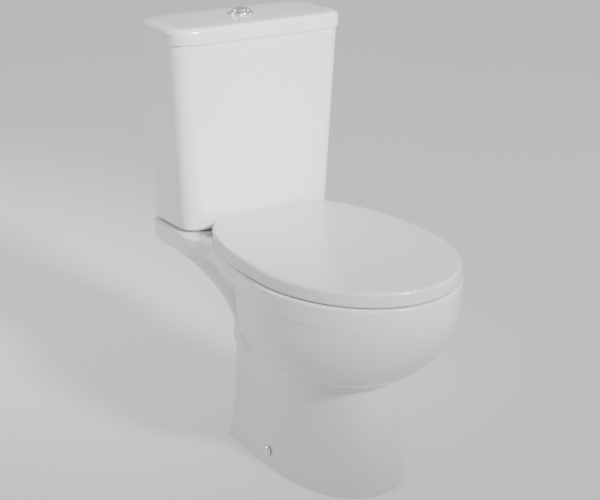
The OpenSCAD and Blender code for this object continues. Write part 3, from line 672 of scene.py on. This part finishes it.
class TOILET_OT_pan(ToiletPiece, bpy.types.Operator):
    """The china pan, with its bowl, box rim, pockets, horn, shelf, hollow foot and outlet"""
    bl_idname = "toilet.pan"
    bl_label = "Pan"

    def build(self, pan, cistern, seat, looks):
        """Skins the pan from the hollow of the foot, over the outside and down the bowl."""
        shape = PanShape(pan, cistern, looks.around)
        edge = 0.0055
        hollow = pan.outlet_height - 0.066
        loops = [shape.outline(z, pan.wall) for z in (hollow - 0.006, 0.08, 0.05, 0.02, 0.0)]
        lid = shape.outline(hollow, pan.wall + 0.014)
        loops = [pole(lid), lid] + loops + [shape.outline(0.0, 0.0015)]
        heights = [0.0015 + 0.0036 * i for i in range(int((RIM_Z - edge) / 0.0036))]
        loops += [shape.outline(z) for z in heights]
        for x, z in arc(0.0, RIM_Z - edge, edge, 0, 90, 8):
            loops.append(shape.outline(z, edge - x))
        loops += self.bowl(pan, shape, loops[-1])
        obj = as_object("china_pan", skin(loops))
        self.cut(obj, pan, cistern, seat)
        smooth(obj, 38.0)
        dress(obj, glazed_china("glazed china pan", looks, 0.0012), "base", "vitreous_china", "pan")

    @staticmethod
    def bowl(pan, shape, top):
        """Loops from the flat of the rim down the inside of the bowl to the sump."""
        centre = shape.wide_y
        angles = [math.atan2(p.y - centre, p.x) for p in top]
        back, sump_z = centre + 0.150, pan.outlet_height - 0.058
        half, front, roll = RIM_HALF - pan.rim_width, FRONT + pan.rim_width - 0.002, 0.009
        loops = []

        def opening(grow, z):
            loops.append(radial(angles, half + grow, front - grow, back - 0.014 + grow, centre,
                                2.1, 2.3, z))

        for grow in (0.024, 0.016):
            opening(grow, RIM_Z)
        for x, z in arc(0.0, RIM_Z - roll, roll, 90, 0, 6):
            opening(roll - x, z)
        opening(0.0, RIM_Z - 0.022)
        for x, z in arc(0.0, RIM_Z - 0.024, 0.004, 0, -90, 4):
            opening(0.004 - x, z)
        for i in range(37):
            t = i / 36
            z = RIM_Z - 0.034 + (sump_z + 0.034 - RIM_Z) * t
            w = 0.028 + (RIM_HALF - pan.wall - 0.040) * (1 - t ** 2.2) ** 1.7
            y0 = FRONT + pan.wall + 0.004 + 0.245 * t ** 1.6
            y1 = back - 0.008 - 0.022 * t
            loops.append(radial(angles, w, y0, y1, y0 + (y1 - y0) * 0.6, 2.1, 2.0, z))
        loops.append(pole(loops[-1], sump_z - 0.004))
        return loops

    @staticmethod
    def cut(obj, pan, cistern, seat):
        """Joins on the outlet and cuts the trap, the holes and the recesses for the fittings."""
        foot_back = FRONT + pan.foot_lead + pan.foot_depth
        out_z, out_r, collar = pan.outlet_height, pan.outlet / 2, foot_back + SPIGOT_COLLAR
        tip = collar + SPIGOT_LENGTH
        profile = [(0.0, 0.060), (out_r + 0.007, 0.060), (out_r + 0.007, collar - 0.003)]
        profile += [(out_r + 0.005, collar), (out_r, collar), (out_r, tip - 0.003)]
        profile += [(out_r - 0.003, tip), (0.0, tip)]
        spigot = lathe(profile)
        bmesh.ops.rotate(spigot, cent=(0, 0, 0), verts=spigot.verts,
                         matrix=Matrix.Rotation(-math.pi / 2, 3, "X"))
        bmesh.ops.translate(spigot, vec=(0, 0, out_z), verts=spigot.verts)
        bmesh.ops.recalc_face_normals(spigot, faces=spigot.faces)
        carve(obj, spigot, "UNION")
        sump = Vector((0, -0.014, out_z - 0.022))
        weir = Vector((0, 0.092, out_z + 0.044))
        carve(obj, rod(sump, weir, pan.trap / 2))
        carve(obj, rod((0, weir.y, out_z), (0, weir.y, weir.z + 0.022), pan.trap / 2 + 0.0035))
        carve(obj, rod((0, weir.y + 0.002, out_z), (0, tip + 0.03, out_z), out_r - 0.009))
        carve(obj, rod((0, VALVE_Y, RIM_Z - 0.028), (0, VALVE_Y, RIM_Z + 0.03), 0.048))
        carve(obj, rod((0, VALVE_Y, RIM_Z - 0.066), (0, VALVE_Y, RIM_Z - 0.01), 0.026))
        back = FRONT + pan.widest + 0.150
        carve(obj, rod((0, VALVE_Y, RIM_Z - 0.047), (0, back - 0.040, RIM_Z - 0.047), 0.017))
        deck = RIM_Z - pan.deck_drop
        carve(obj, rounded_box((-0.130, HINGE_Y - 0.030, deck),
                               (0.130, COVER_HIGH.y + 0.001, RIM_Z + 0.02), 0.0025))
        bolt_x, bolt_y = bolt_place()
        for s in (-1, 1):
            hinge_x = s * seat.hinge_spacing / 2
            carve(obj, rod((hinge_x, HINGE_Y, deck - 0.0032), (hinge_x, HINGE_Y, RIM_Z), 0.0155))
            carve(obj, rod((hinge_x, HINGE_Y, RIM_Z - 0.07), (hinge_x, HINGE_Y, RIM_Z), 0.006))
            carve(obj, rod((hinge_x, HINGE_Y, RIM_Z - 0.11), (hinge_x, HINGE_Y, RIM_Z - 0.034),
                           0.017))
            carve(obj, rod((s * bolt_x, bolt_y, RIM_Z - 0.07), (s * bolt_x, bolt_y, RIM_Z + 0.02),
                           0.005))
            carve(obj, rod((s * bolt_x, bolt_y, RIM_Z - 0.11), (s * bolt_x, bolt_y, RIM_Z - 0.032),
                           0.019))
            carve(obj, rod((s * 0.08, CAP_LOW.y + 0.010, CAP_LOW.z + 0.010),
                           (s * 0.15, CAP_LOW.y + 0.010, CAP_LOW.z + 0.010), 0.0035, 24))
        x, y = middle_of("fill_valve_washer")
        carve(obj, rod((x, y, RIM_Z - 0.11), (x, y, RIM_Z + 0.03), 0.020))


class TOILET_OT_cistern(ToiletPiece, bpy.types.Operator):
    """The tapered china cistern, open at the top and drilled in its floor"""
    bl_idname = "toilet.cistern"
    bl_label = "Cistern"

    def build(self, pan, cistern, seat, looks):
        """Skins the cistern from its floor, up the outside, over the lip and down inside."""
        count, wall = looks.around * 4, cistern.wall
        low, high = CISTERN_LOW.z, CISTERN_HIGH.z
        tall, edge, corner = high - low, 0.007, 0.010

        def level(z, inset):
            return cistern_outline(cistern, (z - low) / tall, z, inset, count)

        base = level(low, edge + 0.010)
        loops = [pole(base), base]
        loops += [level(z, edge - x) for x, z in arc(0.0, low + edge, edge, -90, 0, 6)]
        loops += [level(low + edge + (tall - edge - 0.002) * i / 20, 0.0) for i in range(21)]
        loops += [level(high - 0.0005, 0.0005), level(high, 0.002), level(high, wall - 0.002)]
        loops += [level(high - 0.002, wall)]
        floor = low + wall + 0.002
        loops += [level(high - 0.002 - (high - floor - corner) * i / 12, wall) for i in range(1, 12)]
        loops += [level(z, wall + corner - x) for x, z in
                  arc(0.0, floor + corner, corner, 0, -90, 6)]
        inside = level(floor, wall + corner + 0.012)
        loops += [inside, pole(inside)]
        obj = as_object("china_cistern", skin(loops))
        for node, radius in (("flush_valve_washer", 0.030), ("fill_valve_washer", 0.012)):
            x, y = middle_of(node)
            carve(obj, rod((x, y, low - 0.01), (x, y, low + 0.03), radius))
        bolt_x, bolt_y = bolt_place()
        for x in (-bolt_x, bolt_x):
            carve(obj, rod((x, bolt_y, low - 0.01), (x, bolt_y, low + 0.03), 0.005))
        smooth(obj, 40.0)
        dress(obj, glazed_china("glazed china cistern", looks), "base", "vitreous_china",
              "cistern")


class TOILET_OT_cistern_lid(ToiletPiece, bpy.types.Operator):
    """The china lid of the cistern, with a rolled edge and a hole for the button"""
    bl_idname = "toilet.cistern_lid"
    bl_label = "Cistern lid"

    def build(self, pan, cistern, seat, looks):
        """Skins the lid from its hollow underside, round its edge and over its top."""
        count, seat_z, top = looks.around * 4, LID_LOW.z + 0.007, LID_HIGH.z
        lip = cistern.wall + cistern.lip + 0.002
        under = lid_outline(lip + 0.009, top - 0.012, count)
        loops = [pole(under), lid_outline(lip + 0.030, top - 0.012, count), under]
        loops += [lid_outline(lip + 0.007, LID_LOW.z + 0.001, count)]
        loops += [lid_outline(lip + inset, LID_LOW.z, count) for inset in (0.006, 0.001)]
        loops += [lid_outline(lip, LID_LOW.z + 0.001, count), lid_outline(lip, seat_z, count)]
        loops += [lid_outline(inset, seat_z + rise, count)
                  for inset, rise in ((0.0012, 0.0), (0.0003, 0.0004), (0.0, 0.0014))]
        shoulder, roll = top - 0.0115, 0.0105
        loops += [lid_outline(0.0, seat_z + (shoulder - seat_z) * i / 4, count)
                  for i in range(1, 5)]
        loops += [lid_outline(roll - x, z, count) for x, z in
                  arc(0.0, shoulder, roll, 8, 84, 12)]
        for inset, drop in ((0.014, 0.0008), (0.020, 0.0005), (0.030, 0.00025), (0.045, 0.0001)):
            loops.append(lid_outline(inset, top - drop, count))
        last = lid_outline(0.065, top, count)
        loops += [last, pole(last)]
        obj = as_object("china_cistern_lid", skin(loops))
        carve(obj, rod((0, VALVE_Y, top - 0.05), (0, VALVE_Y, top + 0.02),
                       (COLLAR_HIGH.x - COLLAR_LOW.x) / 2 - 0.003))
        smooth(obj, 40.0)
        dress(obj, glazed_china("glazed china lid", looks), "tank_lid", "vitreous_china",
              "cistern_lid")


class TOILET_OT_seat_cover(ToiletPiece, bpy.types.Operator):
    """The wrap-over seat cover, hollow underneath, with its hinge knuckles"""
    bl_idname = "toilet.seat_cover"
    bl_label = "Seat cover"

    def build(self, pan, cistern, seat, looks):
        """Skins the cover from its inside, round its skirt and over its crowned top."""
        count, low, crease = looks.around * 5, COVER_LOW.z, COVER_HIGH.z - seat.crown
        edge, wall = seat.edge, 0.0055
        under = cover_outline(wall + 0.010, crease - seat.shell, count)
        loops = [pole(under), cover_outline(0.05, crease - seat.shell, count), under]
        loops += [cover_outline(wall + 0.004 - x, z, count) for x, z in
                  arc(0.0, crease - seat.shell - 0.004, 0.004, 90, 0, 4)]
        loops += [cover_outline(wall, low + 0.001, count), cover_outline(wall - 0.001, low, count)]
        loops += [cover_outline(0.0018, low, count), cover_outline(0.0006, low + 0.0006, count)]
        loops += [cover_outline(0.0, low + 0.0018 + (crease - edge - low - 0.0018) * i / 5, count)
                  for i in range(6)]
        loops += [cover_outline(edge - x, z, count) for x, z in
                  arc(0.0, crease - edge, edge, 8, 76, 9)]
        for i in range(1, 15):
            t = i / 14
            rise = seat.crown * (1 - (1 - t) ** 2.4) - 0.0001 * (1 - t)
            loops.append(cover_outline(edge + 0.168 * t ** 1.25, crease + rise, count))
        loops.append(pole(loops[-1], COVER_HIGH.z))
        obj = as_object("seat_cover_shell", skin(loops))
        carve(obj, rounded_box((-0.170, HINGE_Y - 0.002, low - 0.01),
                               (0.170, COVER_HIGH.y + 0.02, crease - 0.0095), 0.001))
        for s in (-1, 1):
            x = s * seat.hinge_spacing / 2
            carve(obj, rod((x - 0.020, HINGE_Y, HINGE_Z), (x + 0.020, HINGE_Y, HINGE_Z), 0.0052, 48))
            carve(obj, rounded_box((x - 0.0065, HINGE_Y, HINGE_Z - 0.020),
                                   (x + 0.0065, HINGE_Y + 0.040, HINGE_Z + 0.0039), 0.0003, 1))
            for offset in (-0.009, 0.009):
                block = rounded_box((x + offset - 0.0019, HINGE_Y - 0.0039, HINGE_Z),
                                    (x + offset + 0.0019, HINGE_Y + 0.0039, crease), 0.0003, 1)
                eye(obj, x + offset, 0.002, 0.0046, block)
        smooth(obj, 36.0)
        dress(obj, seat_plastic("seat cover plastic", looks), "cover", "seat_plastic",
              "seat_cover")


class TOILET_OT_seat_ring(ToiletPiece, bpy.types.Operator):
    """The seat ring, rounded over towards the bowl, with its hinge arms"""
    bl_idname = "toilet.seat_ring"
    bl_label = "Seat ring"

    def build(self, pan, cistern, seat, looks):
        """Skins the ring once round its section, then squares off its back."""
        count, low, high = looks.around * 5, RING_LOW.z, RING_HIGH.z
        high = low + 0.015
        inset = seat.ring_inset
        loops = [cover_outline(inset + 0.003 - x, z, count) for x, z in
                 arc(0.0, low + 0.003, 0.003, -90, 0, 5)]
        loops += [cover_outline(inset + 0.006 - x, z, count) for x, z in
                  arc(0.0, high - 0.006, 0.006, 0, 90, 8)]
        top = loops[-1]
        middle = FRONT + 0.222
        angles = [math.atan2(p.y - middle, p.x) for p in top]

        def hole(grow, z):
            return radial(angles, 0.118 + grow, FRONT + 0.070 - grow, HINGE_Y - 0.078 + grow,
                          middle, 2.05, 2.1, z)

        bottom = loops[0]
        loops += [hole(0.010, high)]
        loops += [hole(0.009 - x, z) for x, z in
                  arc(0.0, high - 0.009, 0.009, 80, 0, 8)]
        loops += [hole(0.003 - x, z) for x, z in arc(0.0, low + 0.003, 0.003, 0, -90, 4)]
        loops.append([p.copy() for p in bottom])
        obj = as_object("seat_ring_moulding", skin(loops))
        carve(obj, rounded_box((-0.20, HINGE_Y - 0.008, low - 0.01),
                               (0.20, HINGE_Y + 0.10, high + 0.03), 0.001))
        for s in (-1, 1):
            for offset in (-0.0145, 0.0145):
                x = s * seat.hinge_spacing / 2 + offset
                bar = rounded_box((x - 0.0024, HINGE_Y - 0.024, HINGE_Z - 0.0043),
                                  (x + 0.0024, HINGE_Y, HINGE_Z + 0.0006), 0.0004, 1)
                eye(obj, x, 0.0025, 0.0044, bar)
        smooth(obj, 36.0)
        dress(obj, seat_plastic("seat ring plastic", looks), "ring", "seat_plastic", "seat_ring")


class TOILET_OT_buttons(ToiletPiece, bpy.types.Operator):
    """The chrome collar and the two halves of the flush button"""
    bl_idname = "toilet.buttons"
    bl_label = "Flush buttons"

    def build(self, pan, cistern, seat, looks):
        """Turns the collar and a domed button, and cuts the button in two."""
        metal = chromed("polished chrome", looks)
        top = LID_HIGH.z
        outer = (COLLAR_HIGH.x - COLLAR_LOW.x) / 2
        bore = 0.0164
        profile = [(bore, top - 0.027), (outer - 0.0034, top - 0.027), (outer - 0.0034, top)]
        profile += [(outer - 0.0004, top)]
        profile += arc(outer - 0.0026, top + 0.0026, 0.0026, -40, 78, 8)
        profile += [(outer - 0.006, COLLAR_HIGH.z - 0.0002)]
        profile += arc(bore + 0.0008, COLLAR_HIGH.z - 0.0008, 0.0008, 90, 180, 4)
        collar = lathe(profile, 96, closed=True)
        bmesh.ops.translate(collar, vec=(0, VALVE_Y, 0), verts=collar.verts)
        obj = as_object("chrome_collar", collar)
        plate = rod((0, VALVE_Y, COLLAR_LOW.z), (0, VALVE_Y, COLLAR_LOW.z + 0.003), outer - 0.0034)
        carve(obj, plate, "UNION")
        for x in (-0.007, 0.007):
            carve(obj, rod((x, VALVE_Y, top - 0.04), (x, VALVE_Y, top - 0.02), 0.0034, 24))
        smooth(obj, 34.0)
        dress(obj, metal, "tank_lid", "chrome", "button_collar")
        for name, side, body, node in (
                ("chrome_full_button", 1, "full_button", "full_flush_button"),
                ("chrome_half_button", -1, "half_button", "half_flush_button")):
            half = as_object(name, self.button())
            split = -0.003 + side * 0.0004
            block = ((split, VALVE_Y - 0.03, top - 0.02), (split + 0.05, VALVE_Y + 0.03, top + 0.03))
            if side < 0:
                block = ((split - 0.05, *block[0][1:]), (split, *block[1][1:]))
            carve(half, rounded_box(*block, 0.0006), "INTERSECT")
            smooth(half, 30.0)
            dress(half, metal, body, "chrome", node)

    @staticmethod
    def button():
        """The whole round button, domed, with a softened rim."""
        radius, crown, rim = 0.016, BUTTON_HIGH.z, BUTTON_HIGH.z - 0.0021
        profile = [(0.0, BUTTON_LOW.z), (radius, BUTTON_LOW.z), (radius, rim - 0.0012)]
        profile += arc(radius - 0.0012, rim - 0.0012, 0.0012, 15, 75, 4)
        for i in range(1, 9):
            t = i / 8
            profile.append(((radius - 0.0012) * (1 - t), rim + (crown - rim) * (1 - (1 - t) ** 2)))
        bm = lathe(profile, 96)
        bmesh.ops.translate(bm, vec=(0, VALVE_Y, 0), verts=bm.verts)
        return bm


class TOILET_OT_side_caps(ToiletPiece, bpy.types.Operator):
    """The domed chrome caps over the side screws"""
    bl_idname = "toilet.side_caps"
    bl_label = "Side caps"

    def build(self, pan, cistern, seat, looks):
        """Turns one hollow cap and sets a copy on each side of the foot."""
        both = bmesh.new()
        y, z = (CAP_LOW.y + CAP_HIGH.y) / 2, (CAP_LOW.z + CAP_HIGH.z) / 2
        radius = (CAP_HIGH.z - CAP_LOW.z) / 2
        face = CAP_HIGH.x - 0.0058
        profile = [(0.005, 0.0), (radius - 0.0004, 0.0)]
        profile += arc(radius - 0.0012, 0.0012, 0.0012, -20, 50, 4)
        for a in (math.radians(turn) for turn in (36, 48, 60, 70, 80)):
            profile.append((radius * math.cos(a), 0.0012 + 0.0046 * math.sin(a)))
        profile += [(0.0, 0.0058), (0.0, 0.0038), (0.005, 0.0038)]
        for s in (-1, 1):
            cap = as_object("tool_cap", lathe(profile, 48, closed=True))
            turn = Matrix.Rotation(s * math.pi / 2, 4, "Y")
            cap.data.transform(Matrix.Translation((s * face, y, z)) @ turn)
            both.from_mesh(cap.data)
            bpy.data.objects.remove(cap)
        bmesh.ops.recalc_face_normals(both, faces=both.faces)
        obj = as_object("chrome_side_caps", both)
        smooth(obj, 34.0)
        dress(obj, chromed("cap chrome", looks), "base", "chrome", "side_screw_caps")


class TOILET_OT_fittings(ToiletPiece, bpy.types.Operator):
    """Finishes for every fitting whose CAD shape is already right"""
    bl_idname = "toilet.fittings"
    bl_label = "Fittings"

    def build(self, pan, cistern, seat, looks):
        """Paints each node that is still shown with the finish of its slot."""
        finishes = {
            "vitreous_china": lambda: glazed_china("glazed china spare", looks),
            "seat_plastic": lambda: seat_plastic("seat plastic spare", looks),
            "chrome": lambda: chromed("fitting chrome", looks),
            "black_rubber": lambda: black_rubber("black rubber", (0.025, 0.025, 0.027),
                                                 (0.05, 0.05, 0.052)),
            "buffer_rubber": lambda: black_rubber("white buffer", (0.58, 0.58, 0.56),
                                                  (0.68, 0.68, 0.66)),
            "zinc_steel": lambda: zinc_steel("zinc plated steel"),
            "brass": lambda: yellow_brass("cast brass"),
            "float_plastic": lambda: moulded_plastic("blue grey plastic", (0.30, 0.37, 0.44),
                                                     (0.35, 0.42, 0.49)),
            "white_nylon": lambda: moulded_plastic("white nylon", (0.66, 0.66, 0.63),
                                                   (0.74, 0.74, 0.71)),
        }
        made = {}
        for part in frame["record"]["subparts"]:
            node = frame["nodes"][part["node"]]
            if node.hide_render:
                continue
            name = part["material_slot"]
            if name not in made:
                made[name] = finishes[name]()
            node.data.materials.clear()
            node.data.materials.append(made[name])


class TOILET_OT_stage(ToiletPiece, bpy.types.Operator):
    """A pale floor, soft studio light and the camera"""
    bl_idname = "toilet.stage"
    bl_label = "Stage"

    def build(self, pan, cistern, seat, looks):
        """Lays the floor, hangs the lights and sets the camera."""
        bm = bmesh.new()
        bmesh.ops.create_grid(bm, x_segments=1, y_segments=1, size=30.0)
        floor = as_object("studio_floor", bm)
        floor.data.materials.append(studio_floor("studio paper", looks))
        world = bpy.data.worlds.new("studio")
        world.use_nodes = True
        world.node_tree.nodes["Background"].inputs["Color"].default_value = (1, 1, 1, 1)
        world.node_tree.nodes["Background"].inputs["Strength"].default_value = 0.62
        bpy.context.scene.world = world
        low, high = Vector((0.0, -0.05, 0.3)), Vector((0.0, 0.2, 0.60))
        self.lamp("overhead", low, 20.0, 80.0, 3.2, 2.4, 14.0)
        self.lamp("behind", low, -130.0, 25.0, 3.0, 1.6, 30.0)
        self.lamp("right", low, 75.0, 24.0, 3.0, 1.6, 16.0)
        self.lamp("left spot", high, -30.0, 14.0, 3.4, 0.6, 190.0, 16.0)
        self.lamp("high spot", high, 10.0, 30.0, 3.4, 1.0, 2500.0, 15.0)
        self.camera()

    @staticmethod
    def lamp(name, target, azimuth, elevation, distance, size, power_w, beam=None):
        """A soft box aimed at the target, or a soft spot with a beam this many degrees wide."""
        light = bpy.data.lights.new(name, "SPOT" if beam else "AREA")
        light.energy = power_w
        if beam:
            light.shadow_soft_size, light.spot_blend = size / 2, 0.7
            light.spot_size = math.radians(beam)
        else:
            light.shape, light.size = "DISK", size
        lamp = bpy.data.objects.new(name, light)
        a, e = math.radians(azimuth), math.radians(elevation)
        back = Vector((math.sin(a) * math.cos(e), -math.cos(a) * math.cos(e), math.sin(e)))
        lamp.location = target + back * distance
        lamp.rotation_mode = "QUATERNION"
        lamp.rotation_quaternion = (-back).to_track_quat("-Z", "Y")
        bpy.context.scene.collection.objects.link(lamp)

    @staticmethod
    def camera():
        """The camera, on the front left and looking down a little."""
        data = bpy.data.cameras.new("camera")
        data.sensor_width, data.lens = 36.0, 81.86
        camera = bpy.data.objects.new("camera", data)
        azimuth, elevation = math.radians(-33.62), math.radians(20.136)
        back = Vector((math.sin(azimuth) * math.cos(elevation),
                       -math.cos(azimuth) * math.cos(elevation), math.sin(elevation)))
        camera.location = Vector((-0.02157, 0.01357, 0.39143)) + back * 2.4382
        camera.rotation_mode = "QUATERNION"
        camera.rotation_quaternion = (-back).to_track_quat("-Z", "Y")
        data.clip_end = 100.0
        bpy.context.scene.collection.objects.link(camera)
        bpy.context.scene.camera = camera


class TOILET_PT_panel(bpy.types.Panel):
    """Lists the pieces of the toilet"""
    bl_label = "Toilet"
    bl_space_type = "VIEW_3D"
    bl_region_type = "UI"
    bl_category = "Toilet"

    def draw(self, context):
        """One button for each operator, then the sizes."""
        for operator in OPERATORS:
            self.layout.operator(operator.bl_idname)
        for group in settings():
            box = self.layout.box()
            for name in group.bl_rna.properties.keys():
                if name not in ("rna_type", "name"):
                    box.prop(group, name)


GROUPS = {"toilet_pan": ToiletPan, "toilet_cistern": ToiletCistern, "toilet_seat": ToiletSeat,
          "toilet_looks": ToiletLooks}
OPERATORS = (TOILET_OT_pan, TOILET_OT_cistern, TOILET_OT_cistern_lid, TOILET_OT_seat_cover,
             TOILET_OT_seat_ring, TOILET_OT_buttons, TOILET_OT_side_caps, TOILET_OT_fittings,
             TOILET_OT_stage)


def register():
    """Registers the classes and hangs the property groups on the scene."""
    for name, group in GROUPS.items():
        bpy.utils.register_class(group)
        setattr(bpy.types.Scene, name, PointerProperty(type=group))
    for item in OPERATORS + (TOILET_PT_panel,):
        bpy.utils.register_class(item)


def unregister():
    """Takes the classes and property groups away again."""
    for item in (TOILET_PT_panel,) + OPERATORS[::-1]:
        bpy.utils.unregister_class(item)
    for name, group in GROUPS.items():
        delattr(bpy.types.Scene, name)
        bpy.utils.unregister_class(group)


def main():
    """Builds the whole toilet."""
    register()
    for operator in OPERATORS:
        getattr(bpy.ops.toilet, operator.bl_idname.split(".")[1])()


if __name__ == "__main__":
    main()
